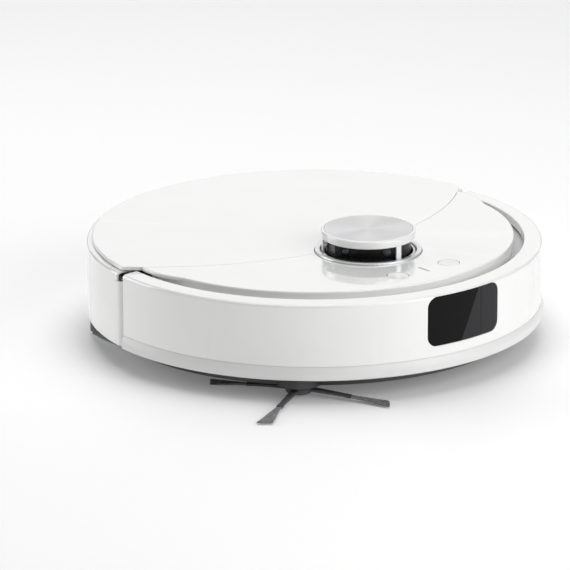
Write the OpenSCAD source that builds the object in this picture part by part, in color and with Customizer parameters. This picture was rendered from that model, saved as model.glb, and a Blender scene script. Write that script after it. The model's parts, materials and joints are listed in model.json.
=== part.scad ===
// Round robot vacuum with a mop module: casing, turret, drive, brushes, dust box and battery.
// Millimetres. Front is -Y, up is +Z, and the floor is z = 0 under the body's centre.

/* [Body] */
// Radius of the bumper and rear wall
body_r = 173.5; // [172:0.5:176]
// Height of the lid's top face
deck_z = 79.6; // [79:0.1:81]
// Thickness of the lid and of the front panel
deck_t = 2.6; // [2:0.1:3]
// Wall thickness of the bumper and rear shell
wall_t = 2; // [1.6:0.1:2.2]
// Travel of the bumper
bumper_travel = 2.5; // [1.5:0.1:2.5]

/* [Lid] */
// Radius of the lid's outer edge
lid_r = 169; // [167:0.5:169]
// Radius of the curved seam in front of the lid
seam_r = 238; // [236:0.5:240]
// Height of the lid's hinge axis
hinge_z = 74.4; // [74:0.1:74.6]

/* [Turret] */
// Distance of the turret's axis in front of the centre
turret_y = 63.3; // [62:0.1:65]
// Radius of the turret's cap
cap_r = 35.7; // [35:0.1:36]
// Height of the turret's top
cap_z = 96.6; // [96:0.1:98]

/* [Drive] */
// Radius of the drive wheels
wheel_r = 32; // [31:0.5:32]
// Width of the tyres
tyre_w = 19; // [17:0.5:19]
// Radius of the front caster wheel
caster_r = 13; // [12:0.5:13]

/* [Brushes] */
// Radius of the main roller over its blades
roller_r = 20; // [18:0.5:20]
// Number of blades on the main roller
blades = 6; // [4:1:8]
// Length of a side brush arm from its axis
arm_reach = 73; // [66:1:73]
// Number of side brush arms
arms = 4; // [3:1:6]

/* [Hidden] */
$fn = 96;

// Casing
rim_z = deck_z - 2.95;
rim_r = 159.6;
rim_drop_z = 70.6;
seam_z = 29.2;
lip_z = 18.8;
lip_r = body_r + 2;
inner_r = body_r - wall_t;
bumper_end_y = 13.5;
shell_start_y = 22.5;
nose_r = 7;
nose_y = 21.5;
seam_y = 190.3;
seam_gap = 0.25;
panel_r = 152;
turret_gap = 0.5;

// Chassis and frame
tub_r = inner_r - bumper_travel - 0.6;
floor_z = 10;
floor_t = 2.6;
tray_z = 68.5;
tray_t = 2.5;
tub_top_z = 32;
well_x0 = 82;
well_x1 = 126.5;
well_y0 = -50;
well_y1 = 41;
well_wall = 2;

// Lid hinge
hinge_y = 166;
notch_x = 40;
notch_y = 156.8;
pin_r = 1.25;
knuckle_r = 2.4;

// Turret
collar_r = 40.3;
collar_top_z = 81.2;
rotor_r = 32;
post_inner_r = rotor_r + 1.6;
rotor_z0 = 79.2;
rotor_z1 = 90;
post_z = 90.6;
rotor_pulley_r = 22;
motor_pulley_r = 5;
belt_z = 73.2;
belt_h = 2.4;
belt_t = 1.2;
belt_gap = 0.2;
axle_r = 6;
belt_reach = 44;
belt_angle = -30;
lens_small_r = 3.4;
lens_big_r = 4;
lens_spread = 15.5;
lens_turn = -135;
lens_face = 22;
motor_x = belt_reach * cos(belt_angle);
motor_y = -turret_y + belt_reach * sin(belt_angle);

// Buttons and light
button_r = 8;
button_x = 25;
button_y = -126;
button_gap = 0.35;
light_l = 12;
light_w = 2;

// Front window
window_w = 68;
window_z0 = 37.2;
window_z1 = 74.6;
window_corner = 8;
window_gap = 0.3;

// Drive units
wheel_y = 5;
tyre_x = 103.5;
arm_x0 = 84;
arm_x1 = 98;
pivot_y = -38;
pivot_z = 42;
pivot_pin_r = 3;
shaft_r = 3;
fit_gap = 0.05;

// Caster
caster_y = -132;
caster_trail = 4;
caster_half_w = 7;
fork_r = 18.6;
fork_z0 = 10.3;
fork_z1 = 29;
stem_r = 4;
socket_r = 20.6;

// Main roller
roller_y = 22;
roller_z = 21;
roller_l = 66;
tunnel_r = 22.4;
tunnel_x = 79.5;
guard_x = 22;
roller_core_r = 9;
roller_hub_r = 4;

// Side brush
brush_x = -105;
brush_y = -108.5;
brush_z0 = 2.6;
brush_hub_r = 10;
brush_start = -150.4;

// Battery bay
bat_x = 45;
bat_y0 = -108;
bat_y1 = -58;
bat_z1 = 36;

// Speaker and cliff sensors
speaker_x = 86;
speaker_y = -95;
cliff_angles = [-72, -30, 30, 72];

// Dust box bay
bay_x = 76;
bay_y0 = 52;
bay_y1 = 128;
bay_z0 = 25;
bay_wall = 2;
bin_gap = 1;
bin_wall = 2;
inlet_w = 64;
inlet_z0 = 29.5;
inlet_z1 = 41.5;

// Suction fan
fan_y = 90;
fan_z = 45;
fan_r = 20.3;
fan_x0 = 80;
fan_x1 = 112;

// Mop module
mop_x = 146;
mop_y0 = 58;
mop_r = 172;
mop_z0 = 4.4;
mop_z1 = 19;
mop_clear = 0.8;

// Side of the body: -1 is the robot's right, 1 its left
left = 1;
right = -1;

// ---------- Shared shapes ----------

// Points along an arc, from angle a0 to a1
function arc(cx, cy, r, a0, a1, n = 5) =
    [for (i = [0:n]) [cx + r * cos(a0 + (a1 - a0) * i / n), cy + r * sin(a0 + (a1 - a0) * i / n)]];

module tube(r_out, r_in, z0, z1) {
    translate([0, 0, z0]) difference() {
        cylinder(r = r_out, h = z1 - z0);
        translate([0, 0, -1]) cylinder(r = r_in, h = z1 - z0 + 2);
    }
}

module box(x0, x1, y0, y1, z0, z1) {
    translate([x0, y0, z0]) cube([x1 - x0, y1 - y0, z1 - z0]);
}

// Cylinder along X from x0 to x1
module x_rod(x0, x1, y, z, r) {
    translate([x0, y, z]) rotate([0, 90, 0]) cylinder(r = r, h = x1 - x0);
}

// Wall and flat rim that the bumper and rear shell share, as a full turn
module wall_ring(z0) {
    crease_r = body_r - 2.5;
    crease_z = rim_z - 0.5;
    rotate_extrude() polygon(concat(
        [[inner_r, z0], [body_r, z0]],
        arc(crease_r, crease_z - 2.5, 2.5, 0, 90),
        arc(rim_r + 1, rim_z - 1, 1, 90, 180, 3),
        [[rim_r, rim_drop_z], [rim_r + wall_t, rim_drop_z], [rim_r + wall_t, rim_z - wall_t],
         [crease_r - 1, crease_z - wall_t]],
        arc(crease_r - 1, crease_z - wall_t - 1.5, 1.5, 90, 0, 3)
    ));
}

// Rounded rectangle that faces along Y
module face_pad(w, z0, z1, corner, y0, y1) {
    translate([0, y1, 0]) rotate([90, 0, 0]) linear_extrude(y1 - y0) union() {
        translate([-w / 2 + corner, z0]) square([w - 2 * corner, z1 - z0]);
        translate([-w / 2, z0 + corner]) square([w, z1 - z0 - 2 * corner]);
        for (x = [-1, 1], z = [z0 + corner, z1 - corner])
            translate([x * (w / 2 - corner), z]) circle(corner);
    }
}

// Disc with a rounded top edge
module rounded_disc(r, z0, z1, edge) {
    rotate_extrude() polygon(concat([[0, z0], [r, z0]], arc(r - edge, z1 - edge, edge, 0, 90, 4), [[0, z1]]));
}

module at_turret() {
    translate([0, -turret_y, 0]) children();
}

// Way through the turret's walls for the belt and the small pulley
module belt_corridor() {
    at_turret() rotate([0, 0, belt_angle]) box(20, 60, -18, 18, 60, 77);
}

module at_lidar_motor() {
    translate([motor_x, motor_y, 0]) children();
}

// ---------- Casing ----------

module bumper() color("white") difference() {
    wall_ring(seam_z);
    box(-200, 200, bumper_end_y, 200, 0, 100);
    face_pad(window_w + 2 * window_gap, window_z0 - window_gap, window_z1 + window_gap,
        window_corner, -200, -163.5);
}

module bumper_lip() color("gainsboro") difference() {
    rotate_extrude() polygon(concat(
        [[inner_r, lip_z + 0.8], [inner_r + 0.8, lip_z]],
        arc(lip_r - 1.5, lip_z + 1.5, 1.5, -90, 0, 4),
        [[lip_r, lip_z + 4], [body_r, seam_z], [inner_r, seam_z]]
    ));
    box(-200, 200, bumper_end_y, 200, 0, 100);
}

module sensor_window() color([0.05, 0.05, 0.06]) intersection() {
    tube(body_r - 0.2, inner_r + 0.1, window_z0, window_z1);
    face_pad(window_w, window_z0, window_z1, window_corner - window_gap, -200, -140);
}

// Notch in the rear rim for the lid's hinge
module hinge_notch() {
    box(-notch_x, notch_x, notch_y, 200, 71.5, 100);
}

module rear_shell() color("white") difference() {
    union() {
        difference() {
            wall_ring(lip_z + 0.5);
            box(-200, 200, -200, shell_start_y, 0, 100);
        }
        for (side = [left, right]) shell_nose(side);
    }
    hinge_notch();
    exhaust_opening(0);
    face_pad(51, 29.5, 50.5, 5, 160, 200);
    for (x = [-1, 1]) box(x * 38 - 5.2, x * 38 + 5.2, 165, 172.4, 24.8, 42.2);
}

// Wall end that curves in, so that the bumper's end can slide outside it
module shell_nose(side) {
    nose_x = sqrt(body_r * body_r - nose_y * nose_y) - nose_r;
    top = rim_drop_z - 1.4;
    translate([side * nose_x, nose_y, 0]) intersection() {
        tube(nose_r, nose_r - wall_t, lip_z + 0.5, top);
        box(side > 0 ? 0 : -10, side > 0 ? 10 : 0, -10, shell_start_y - nose_y + 0.6, 0, 100);
    }
    box(side * nose_x - (side > 0 ? 1.6 : 0), side * nose_x + (side > 0 ? 0 : 1.6),
        nose_y - nose_r, nose_y - nose_r + wall_t, lip_z + 0.5, top);
}

// Disc inside the lid's front seam, shrunk or grown by grow
module seam_disc(z0, z1, grow) {
    translate([0, seam_y, z0]) cylinder(r = seam_r + grow, h = z1 - z0, $fn = 180);
}

module lid() color("white") {
    under_z = deck_z - deck_t;
    difference() {
        intersection() {
            rounded_disc(lid_r, under_z, deck_z, 1.2);
            translate([0, seam_y, 0]) rotate_extrude($fn = 180) polygon([
                [0, under_z], [seam_r - seam_gap, under_z], [seam_r - seam_gap, deck_z - 0.5],
                [seam_r - seam_gap - 0.5, deck_z], [0, deck_z]
            ]);
        }
        at_turret() translate([0, 0, 60]) cylinder(r = collar_r + turret_gap, h = 40);
    }
    // Stiffening ring and cross ribs
    difference() {
        tube(152, 150, under_z - 3, under_z);
        box(-200, 200, -200, 36, 0, 100);
        box(-45, 45, 140, 200, 0, 100);
    }
    for (x = [-48, 48]) box(x - 1, x + 1, 12, 140, under_z - 2.5, under_z);
    // Hinge arms
    for (x = [-20, 20]) difference() {
        union() {
            x_rod(x - 5, x + 5, hinge_y, hinge_z, knuckle_r);
            box(x - 5, x + 5, hinge_y - 12, hinge_y, hinge_z, under_z);
            box(x - 5, x + 5, hinge_y - knuckle_r, hinge_y + knuckle_r, hinge_z, under_z);
        }
        x_rod(x - 6, x + 6, hinge_y, hinge_z, pin_r + fit_gap);
    }
}

module hinge_pins() color("silver") for (x = [-20, 20]) x_rod(x - 8, x + 8, hinge_y, hinge_z, pin_r);

module front_panel() color("white") {
    under_z = deck_z - deck_t;
    difference() {
        union() {
            rounded_disc(panel_r, under_z, deck_z, 1.2);
            tube(panel_r - 0.4, panel_r - 2.4, tray_z, under_z + 0.1);
            for (x = [-1, 1]) intersection() {
                panel_ear(x, under_z);
                box(x * 155 - 20, x * 155 + 20, -60, 20, 0, 100);
            }
        }
        translate([0, seam_y, 0]) rotate_extrude($fn = 180) polygon([
            [0, 60], [seam_r + seam_gap, 60], [seam_r + seam_gap, deck_z - 0.5],
            [seam_r + seam_gap + 0.5, deck_z], [seam_r + seam_gap + 0.5, 90], [0, 90]
        ]);
        at_turret() translate([0, 0, 60]) cylinder(r = collar_r + turret_gap, h = 40);
        for (x = [-1, 1]) translate([x * button_x, button_y, 60])
            cylinder(r = button_r + button_gap, h = 40);
        box(-light_w / 2 - 0.1, light_w / 2 + 0.1, button_y - light_l / 2 - 0.1,
            button_y + light_l / 2 + 0.1, 60, 100);
    }
}

// Side of the panel that widens beside the groove's end
module panel_ear(side, under_z) {
    translate([side * 97.5, 2, 0]) {
        rounded_disc(60, under_z, deck_z, 1.2);
        tube(59.6, 57.6, tray_z, under_z + 0.1);
    }
}

module button(x) {
    translate([x, button_y, 0]) union() {
        rounded_disc(button_r, deck_z - deck_t, deck_z + 0.1, 0.4);
        translate([0, 0, deck_z - deck_t - 1.2]) cylinder(r = button_r + 1.4, h = 0.8);
        translate([0, 0, tray_z + 1.4]) cylinder(r = 2, h = deck_z - deck_t - tray_z - 1.2);
    }
}

module power_button() color("gainsboro") button(button_x);

module dock_button() color("gainsboro") button(-button_x);

module status_light() color([0.15, 0.15, 0.16])
    box(-light_w / 2, light_w / 2, button_y - light_l / 2, button_y + light_l / 2, tray_z, deck_z - 0.1);

// Slanted sector of the rear wall that the exhaust grille fills
module exhaust_sector(grow) {
    rotate([0, 0, 40]) box(150, 180, -24 - grow, 24 + grow, 35 - grow, 57 + grow);
}

module exhaust_opening(grow) {
    intersection() {
        tube(body_r + 1, inner_r - 1, 20, 70);
        exhaust_sector(grow);
    }
}

module exhaust_grille() color([0.2, 0.2, 0.21]) difference() {
    union() {
        intersection() {
            tube(body_r - 0.5, inner_r, 20, 70);
            exhaust_sector(-0.1);
        }
        intersection() {
            tube(inner_r, inner_r - 1.5, 20, 70);
            exhaust_sector(2.5);
        }
    }
    for (i = [-8:8]) rotate([0, 0, 40 + i * 0.86])
        box(165, 180, -0.7, 0.7, 37.5, 54.5);
}

module dock_window() color([0.05, 0.05, 0.06]) intersection() {
    tube(body_r - 0.3, inner_r - 0.4, 25, 60);
    face_pad(50.4, 29.8, 50.2, 4.7, 160, 200);
}

module charge_contacts() color("silver") for (x = [-1, 1]) {
    intersection() {
        tube(body_r + 0.2, inner_r - 0.5, 25, 42);
        box(x * 38 - 5, x * 38 + 5, 160, 180, 25, 42);
    }
}

// ---------- Chassis ----------

module chassis() color([0.22, 0.22, 0.23]) difference() {
    union() {
        rotate_extrude() polygon([
            [0, floor_z], [tub_r - 10.4, floor_z], [tub_r, 19], [tub_r, tub_top_z],
            [tub_r - 2.5, tub_top_z], [tub_r - 2.5, 20.2], [tub_r - 11.4, floor_z + floor_t],
            [0, floor_z + floor_t]
        ]);
        mop_recess_walls();
        for (side = [left, right]) well_walls(side);
        tunnel_shell(tunnel_r + 2);
        tunnel_base();
        caster_socket();
        translate([brush_x, brush_y, floor_z]) cylinder(r = 17, h = 6);
        box(-bat_x - 3, bat_x + 3, bat_y0 - 3, bat_y1 + 3, floor_z, 26);
        for (x = [-1, 1]) box(x * 104.5 - 1.5, x * 104.5 + 1.5, well_y0 - 1, pivot_y + 5, pivot_z - 5, pivot_z + 5);
        // Posts that carry the frame
        for (x = [-1, 1], y = [-60, 100])
            translate([x * (y < 0 ? 132 : 112), y < 0 ? y : 62, floor_z + 2])
                cylinder(r = 5, h = tray_z - tray_t - floor_z - 2);
    }
    box(-mop_x - mop_clear, mop_x + mop_clear, mop_y0 - mop_clear, 200, 0, 20);
    for (side = [left, right]) well_space(side);
    tunnel_shell(tunnel_r);
    box(-tunnel_x, tunnel_x, roller_y - tunnel_r - 1, roller_y + tunnel_r + 1, 0, floor_z + floor_t + 0.1);
    box(-inlet_w / 2, inlet_w / 2, roller_y + 10, bay_y0 + 4, inlet_z0, inlet_z1);
    translate([0, caster_y, 0]) cylinder(r = socket_r, h = fork_z1 + 1.4);
    translate([0, caster_y, 0]) cylinder(r = stem_r + fit_gap, h = 60);
    translate([brush_x, brush_y, 0]) cylinder(r = 3.3, h = 30);
    box(-bat_x - 0.5, bat_x + 0.5, bat_y0 - 0.5, bat_y1 + 0.5, floor_z + floor_t, 60);
    box(-bat_x - 6.2, bat_x + 6.2, bat_y0 - 0.2, bat_y1 + 0.2, 0, floor_z + floor_t + 0.1);
    speaker_holes();
    for (a = cliff_angles) cliff_pad(a, 0.1);
    for (p = screw_places) translate([p[0], p[1], 0]) {
        cylinder(r = 3.4, h = floor_z + 1.2);
        cylinder(r = 1.6, h = floor_z + 12);
    }
    for (side = [left, right]) mirror([side > 0 ? 0 : 1, 0, 0]) {
        x_rod(70, 107, pivot_y, pivot_z, pivot_pin_r);
        box(163, 180, 13, 24, 18.5, 40);
    }
}

screw_places = [
    for (x = [-1, 1], p = [[40, -148], [132, -60], [60, -128], [112, 50.5]]) [x * p[0], p[1]]
];

// Floor and walls around the recess for the mop module
module mop_recess_walls() {
    intersection() {
        translate([0, 0, floor_z]) cylinder(r = tub_r, h = 13);
        union() {
            box(-mop_x - 3.4, mop_x + 3.4, mop_y0 - 3.4, 200, 20, 22.6);
            box(-mop_x - 3.4, mop_x + 3.4, mop_y0 - 3.4, mop_y0 - 0.5, floor_z, 22.6);
            for (x = [-1, 1])
                box(x * (mop_x + 2.1) - 1.3, x * (mop_x + 2.1) + 1.3, mop_y0 - 3.4, 200, floor_z, 22.6);
        }
    }
}

// Open-bottomed box round one drive unit, with the pin's outer lug
module well_walls(side) {
    mirror([side > 0 ? 0 : 1, 0, 0]) difference() {
        box(well_x0 - well_wall, well_x1 + well_wall, well_y0 - well_wall, well_y1 + well_wall,
            floor_z, tray_z - tray_t);
        box(well_x0, well_x1, well_y0, well_y1, 0, tray_z - tray_t + 1);
    }
}

module well_space(side) {
    mirror([side > 0 ? 0 : 1, 0, 0]) difference() {
        box(well_x0, well_x1, well_y0, well_y1, 0, tray_z - tray_t + 1);
        box(103, 106, well_y0 - 2, pivot_y + 5, pivot_z - 5, pivot_z + 5);
    }
}

// Half-round roof over the roller
module tunnel_shell(r) {
    intersection() {
        x_rod(-tunnel_x, tunnel_x, roller_y, roller_z, r);
        box(-200, 200, -50, 52, floor_z - 5, 70);
    }
    if (r > tunnel_r)
        box(-inlet_w / 2 - 2, inlet_w / 2 + 2, roller_y + 14, bay_y0 - bay_wall - 0.2,
            inlet_z0 - 2, inlet_z1 + 2);
}

// Rim that joins the roof to the floor and closes its two ends
module tunnel_base() {
    box(-tunnel_x - 1, tunnel_x + 1, roller_y - tunnel_r - 3.4, roller_y + tunnel_r + 3.4, floor_z, 17);
    for (x = [-1, 1])
        box(x * (tunnel_x + 0.75) - 0.75, x * (tunnel_x + 0.75) + 0.75, roller_y - 20, roller_y + 20, floor_z, 40);
}

module caster_socket() {
    translate([0, caster_y, floor_z]) cylinder(r = socket_r + 2, h = fork_z1 + 4 - floor_z);
    translate([0, caster_y, floor_z]) cylinder(r = stem_r + 3, h = 32);
}

module speaker_holes() {
    translate([speaker_x, speaker_y, 0]) for (i = [-3:3], j = [-3:3])
        if (i * i + j * j < 11) translate([i * 4, j * 4, 0]) cylinder(r = 1, h = floor_z + 5, $fn = 16);
}

// Small flat window on the floor at angle a from the front
module cliff_pad(a, grow) {
    rotate([0, 0, a]) box(-9 - grow, 9 + grow, -150 - grow, -142 + grow, floor_z - grow, floor_z + 1.4);
}

module cliff_windows() color([0.06, 0.06, 0.07]) for (a = cliff_angles) cliff_pad(a, 0);

module chassis_screws() color("silver") for (p = screw_places) translate([p[0], p[1], 0]) difference() {
    union() {
        translate([0, 0, floor_z]) cylinder(r = 3, h = 1.2);
        translate([0, 0, floor_z + 1.2]) cylinder(r = 1.6, h = 9);
    }
    for (a = [0, 90]) translate([0, 0, floor_z]) rotate([0, 0, a]) cube([3.4, 0.7, 1.4], center = true);
}

module top_frame() color([0.3, 0.3, 0.31]) difference() {
    union() {
        translate([0, 0, tray_z - tray_t]) cylinder(r = tub_r - 1, h = tray_t);
        tube(tub_r, tub_r - 2.5, tub_top_z, tray_z);
        // Dust box bay
        box(-bay_x - bay_wall, bay_x + bay_wall, bay_y0 - bay_wall, bay_y1 + bay_wall,
            bay_z0 - bay_wall, tray_z);
        // Hinge ears
        for (x = [-20, 20], s = [-1, 1]) {
            box(x + s * 6.7 - 1.2, x + s * 6.7 + 1.2, 161, hinge_y + 2.2, 62, hinge_z);
            x_rod(x + s * 6.7 - 1.2, x + s * 6.7 + 1.2, hinge_y, hinge_z, 2.2);
        }
    }
    box(-bay_x, bay_x, bay_y0, bay_y1, bay_z0, 100);
    box(-inlet_w / 2, inlet_w / 2, bay_y0 - 5, bay_y0 + 5, inlet_z0, inlet_z1);
    x_rod(bay_x - 1, bay_x + 5, fan_y, fan_z, 12);
    for (side = [left, right]) mirror([side > 0 ? 0 : 1, 0, 0])
        box(well_x0 + 1, well_x1 - 1, well_y0 + 1, well_y1 - 1, 60, 66.6);
    at_lidar_motor() translate([0, 0, 60]) cylinder(r = 10.6, h = 10);
    // Openings for the sensor module, the exhaust and the shell's curved ends
    box(-34, 34, -200, -150, 30, 65.9);
    intersection() {
        exhaust_sector(2);
        box(0, 200, 0, 200, 30, 62);
    }
    for (x = [-20, 20]) x_rod(x - 9, x + 9, hinge_y, hinge_z, pin_r);
    for (x = [-20, 20]) box(x - 5.4, x + 5.4, 150, 200, 60, 80);
    for (side = [left, right]) mirror([side > 0 ? 0 : 1, 0, 0]) box(163, 180, 13, 24, 0, 100);
}

// ---------- Turret ----------

module lidar_collar() color("silver") difference() {
    at_turret() rotate_extrude() polygon(concat(
        [[cap_r + 0.7, tray_z + 2.6], [collar_r, tray_z + 2.6]],
        arc(collar_r - 0.8, collar_top_z - 0.8, 0.8, 0, 90, 3),
        [[cap_r + 0.7, collar_top_z]]
    ));
    belt_corridor();
}

module lidar_base() color([0.12, 0.12, 0.13]) difference() {
    union() {
        at_turret() translate([0, 0, tray_z]) cylinder(r = collar_r, h = 2.5);
        at_turret() translate([0, 0, tray_z + 2]) cylinder(r = axle_r, h = 13.5);
        at_lidar_motor() translate([0, 0, tray_z]) cylinder(r = 12, h = 2.5);
    }
    at_lidar_motor() translate([0, 0, 60]) cylinder(r = 3, h = 20);
}

module lidar_cover() color("white") at_turret() {
    difference() {
        rounded_disc(cap_r, post_z, cap_z, 1.6);
        translate([0, 0, cap_z - 0.8]) cylinder(r = 33.4, h = 2);
        translate([0, 0, post_z - 1]) cylinder(r = post_inner_r, h = 3.4);
    }
    // Foot ring and three posts
    difference() {
        tube(cap_r, post_inner_r, tray_z + 2.6, rotor_z0 + 0.6);
        rotate([0, 0, belt_angle]) box(20, 60, -18, 18, 60, 77);
    }
    for (a = [-90, 30, 150]) rotate([0, 0, a]) intersection() {
        tube(cap_r - 0.4, post_inner_r + 0.2, rotor_z0, post_z + 1);
        box(20, 40, -2.4, 2.4, 0, 100);
    }
}

module lidar_disc() color("silver") at_turret() rounded_disc(33.3, cap_z - 0.8, cap_z, 0.2);

module lidar_rotor() color([0.08, 0.08, 0.09]) at_turret() difference() {
    union() {
        rotor_body(rotor_r);
        translate([0, 0, 76.4]) cylinder(r = 26, h = 3);
        rotate_extrude() polygon([
            [axle_r + fit_gap, 71.6], [rotor_pulley_r + 1.6, 71.6], [rotor_pulley_r + 1.6, 72.6],
            [rotor_pulley_r, 72.6], [rotor_pulley_r, 76.4], [axle_r + fit_gap, 76.4]
        ]);
    }
    translate([0, 0, 70]) cylinder(r = axle_r + fit_gap, h = 14.6);
    at_lens(-1) x_rod(12, 40, 0, 0, lens_small_r);
    at_lens(1) x_rod(12, 40, 0, 0, lens_big_r);
}

// Drum with one flat face for the two lenses
module rotor_body(r) {
    difference() {
        translate([0, 0, rotor_z0]) cylinder(r = r, h = rotor_z1 - rotor_z0);
        rotate([0, 0, lens_turn]) box(lens_face, 60, -60, 60, rotor_z0 + 1.2, rotor_z1 - 1);
    }
}

module at_lens(side) {
    rotate([0, 0, lens_turn]) translate([0, side * lens_spread, (rotor_z0 + rotor_z1) / 2]) children();
}

module lidar_lenses() color([0.35, 0.36, 0.4]) at_turret() {
    at_lens(-1) x_rod(13, lens_face + 1, 0, 0, lens_small_r - 0.1);
    at_lens(1) x_rod(13, lens_face + 2, 0, 0, lens_big_r - 0.1);
}

module lidar_motor() color("silver") at_lidar_motor() {
    translate([0, 0, 51]) cylinder(r = 10, h = 17.4);
    translate([0, 0, 68]) cylinder(r = 1, h = 8);
}

module lidar_pulley() color([0.15, 0.15, 0.16]) at_lidar_motor() difference() {
    rotate_extrude() polygon([
        [0, 71.4], [motor_pulley_r + 1.2, 71.4], [motor_pulley_r + 1.2, 72.6], [motor_pulley_r, 72.6],
        [motor_pulley_r, 75.8], [motor_pulley_r + 1.2, 75.8], [motor_pulley_r + 1.2, 76.6], [0, 76.6]
    ]);
    translate([0, 0, 60]) cylinder(r = 1 + fit_gap, h = 16);
}

// Flat belt, which follows the pulleys' two outer tangents
module lidar_belt() color([0.1, 0.1, 0.1]) at_turret() rotate([0, 0, belt_angle])
    translate([0, 0, belt_z]) linear_extrude(belt_h) difference() {
        belt_outline(belt_gap + belt_t);
        belt_outline(belt_gap);
    }

module belt_outline(grow) {
    big = rotor_pulley_r + grow;
    small = motor_pulley_r + grow;
    tilt = acos((big - small) / belt_reach);
    polygon(concat(arc(0, 0, big, tilt, 360 - tilt, 36), arc(belt_reach, 0, small, -tilt, tilt, 16)));
}

// ---------- Inner parts ----------

module sensor_module() color([0.1, 0.12, 0.1]) {
    box(-30, 30, -163, -151, 40, 64);
    for (x = [-18, 18]) translate([x, -163, 53]) rotate([90, 0, 0]) cylinder(r = 6, h = 3.5);
    box(-6, 6, -165, -163, 46, 60);
}

module battery() color([0.16, 0.18, 0.3]) {
    box(-bat_x, bat_x, bat_y0, bat_y1, floor_z + floor_t + 0.2, bat_z1 - 3);
    for (x = [-33.5, -11.2, 11.2, 33.5])
        translate([x, (bat_y0 + bat_y1) / 2, bat_z1 - 3]) cylinder(r = 9, h = 3);
}

module battery_cover() color([0.25, 0.25, 0.26]) {
    box(-bat_x - 6, bat_x + 6, bat_y0, bat_y1, floor_z + 0.2, floor_z + floor_t);
    for (x = [-1, 1]) translate([x * 30, bat_y0 + 6, floor_z - 0.5]) cylinder(r = 4, h = 1);
}

module main_board() color([0.08, 0.3, 0.16]) {
    box(-70, 66, -128, -8, 44, 45.6);
    box(-50, -20, -60, -30, 45.6, 47.6);
    box(-10, 8, -62, -44, 45.6, 47.2);
    box(30, 44, -40, -20, 45.6, 48.6);
    for (x = [-60, -40, 56]) translate([x, -18, 45.6]) cylinder(r = 4, h = 9);
    box(-66, -48, -122, -112, 45.6, 52);
}

module speaker() color([0.1, 0.1, 0.11]) translate([speaker_x, speaker_y, floor_z + floor_t]) {
    cylinder(r = 19, h = 3);
    cylinder(r = 15, h = 9);
    cylinder(r = 9, h = 14);
}

module fan_housing() color([0.3, 0.3, 0.32]) {
    difference() {
        x_rod(fan_x0, fan_x1, fan_y, fan_z, fan_r);
        x_rod(fan_x0 + 2, fan_x0 + 18, fan_y, fan_z, fan_r - 2);
        x_rod(fan_x0 - 1, fan_x0 + 3, fan_y, fan_z, 11);
        for (a = [0:40:320]) translate([fan_x0 + 17, fan_y, fan_z]) rotate([a, 0, 0])
            box(0, 20, 14.2, 17.6, -3, 3);
    }
    x_rod(fan_x0 + 5, fan_x0 + 19, fan_y, fan_z, 2);
}

module fan_impeller() color([0.75, 0.75, 0.78]) translate([0, fan_y, fan_z]) rotate([0, 90, 0]) difference() {
    union() {
        translate([0, 0, fan_x0 + 14]) cylinder(r = 17, h = 1.5);
        translate([0, 0, fan_x0 + 5]) cylinder(r = 5, h = 10);
        for (a = [0:40:320]) rotate([0, 0, a]) translate([4, -0.6, fan_x0 + 5]) cube([12.5, 1.2, 10]);
    }
    translate([0, 0, fan_x0]) cylinder(r = 2 + fit_gap, h = 20);
}

module roller_gearbox() color([0.18, 0.18, 0.19]) {
    difference() {
        box(roller_l + 2.4, tunnel_x - 0.2, roller_y - 10, roller_y + 10, 13, 31);
        x_rod(roller_l, tunnel_x + 1, roller_y, roller_z, roller_hub_r + fit_gap);
    }
}

module roller_motor() color("silver") {
    x_rod(22, 70, 4, 55, 10);
    x_rod(70, 74, 4, 55, 3);
}

// Frame that holds the roller, with two guard bars across its mouth
module roller_cover() color([0.75, 0.3, 0.1]) {
    y0 = roller_y - tunnel_r - 0.6;
    y1 = roller_y + tunnel_r + 0.6;
    difference() {
        box(-tunnel_x + 0.4, tunnel_x - 0.4, y0, y1, floor_z - 1.4, floor_z + 2.2);
        box(-roller_l - 2, roller_l + 2, y0 + 4.6, y1 - 4.6, 0, 20);
        for (side = [left, right]) latch_slot(side, 0.3);
        box(roller_l + 2, tunnel_x, roller_y - 10.4, roller_y + 10.4, floor_z + 1.6, 40);
    }
    for (x = [-guard_x, guard_x]) box(x - 0.8, x + 0.8, y0 + 4, y1 - 4, 3, floor_z - 0.6);
}

module latch_slot(side, grow) {
    box(side * 73.4 - 4 - grow, side * 73.4 + 4 + grow, roller_y - 19 - grow, roller_y - 12 + grow, 0, 40);
}

module latch(side) color([0.8, 0.35, 0.12]) {
    box(side * 73.4 - 2.4, side * 73.4 + 2.4, roller_y - 18.6, roller_y - 12.4, floor_z - 0.8, floor_z + 2);
    box(side * 73.4 - 2.4, side * 73.4 + 2.4, roller_y - 16.5, roller_y - 14.5, floor_z - 1.4, floor_z - 0.4);
}

module latch_left() latch(left);

module latch_right() latch(right);

module roller_core() color([0.9, 0.45, 0.1]) {
    x_rod(-roller_l, roller_l, roller_y, roller_z, roller_core_r);
    x_rod(-tunnel_x + 0.6, tunnel_x - 1, roller_y, roller_z, roller_hub_r);
}

// Straight rubber blades round a sleeve, broken where the cover's guard bars pass
module roller_blades() color([0.15, 0.15, 0.16]) translate([0, roller_y, roller_z]) rotate([0, 90, 0]) {
    end = roller_l - 1;
    groove = 1.8;
    tube(roller_core_r + 2, roller_core_r, -end, end);
    for (i = [0:blades - 1]) rotate([0, 0, i * 360 / blades])
        for (span = [[-end + 0.5, -guard_x - groove], [-guard_x + groove, guard_x - groove],
                     [guard_x + groove, end - 0.5]])
            box(roller_core_r + 1, roller_r, -1, 1, span[0], span[1]);
}

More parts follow.
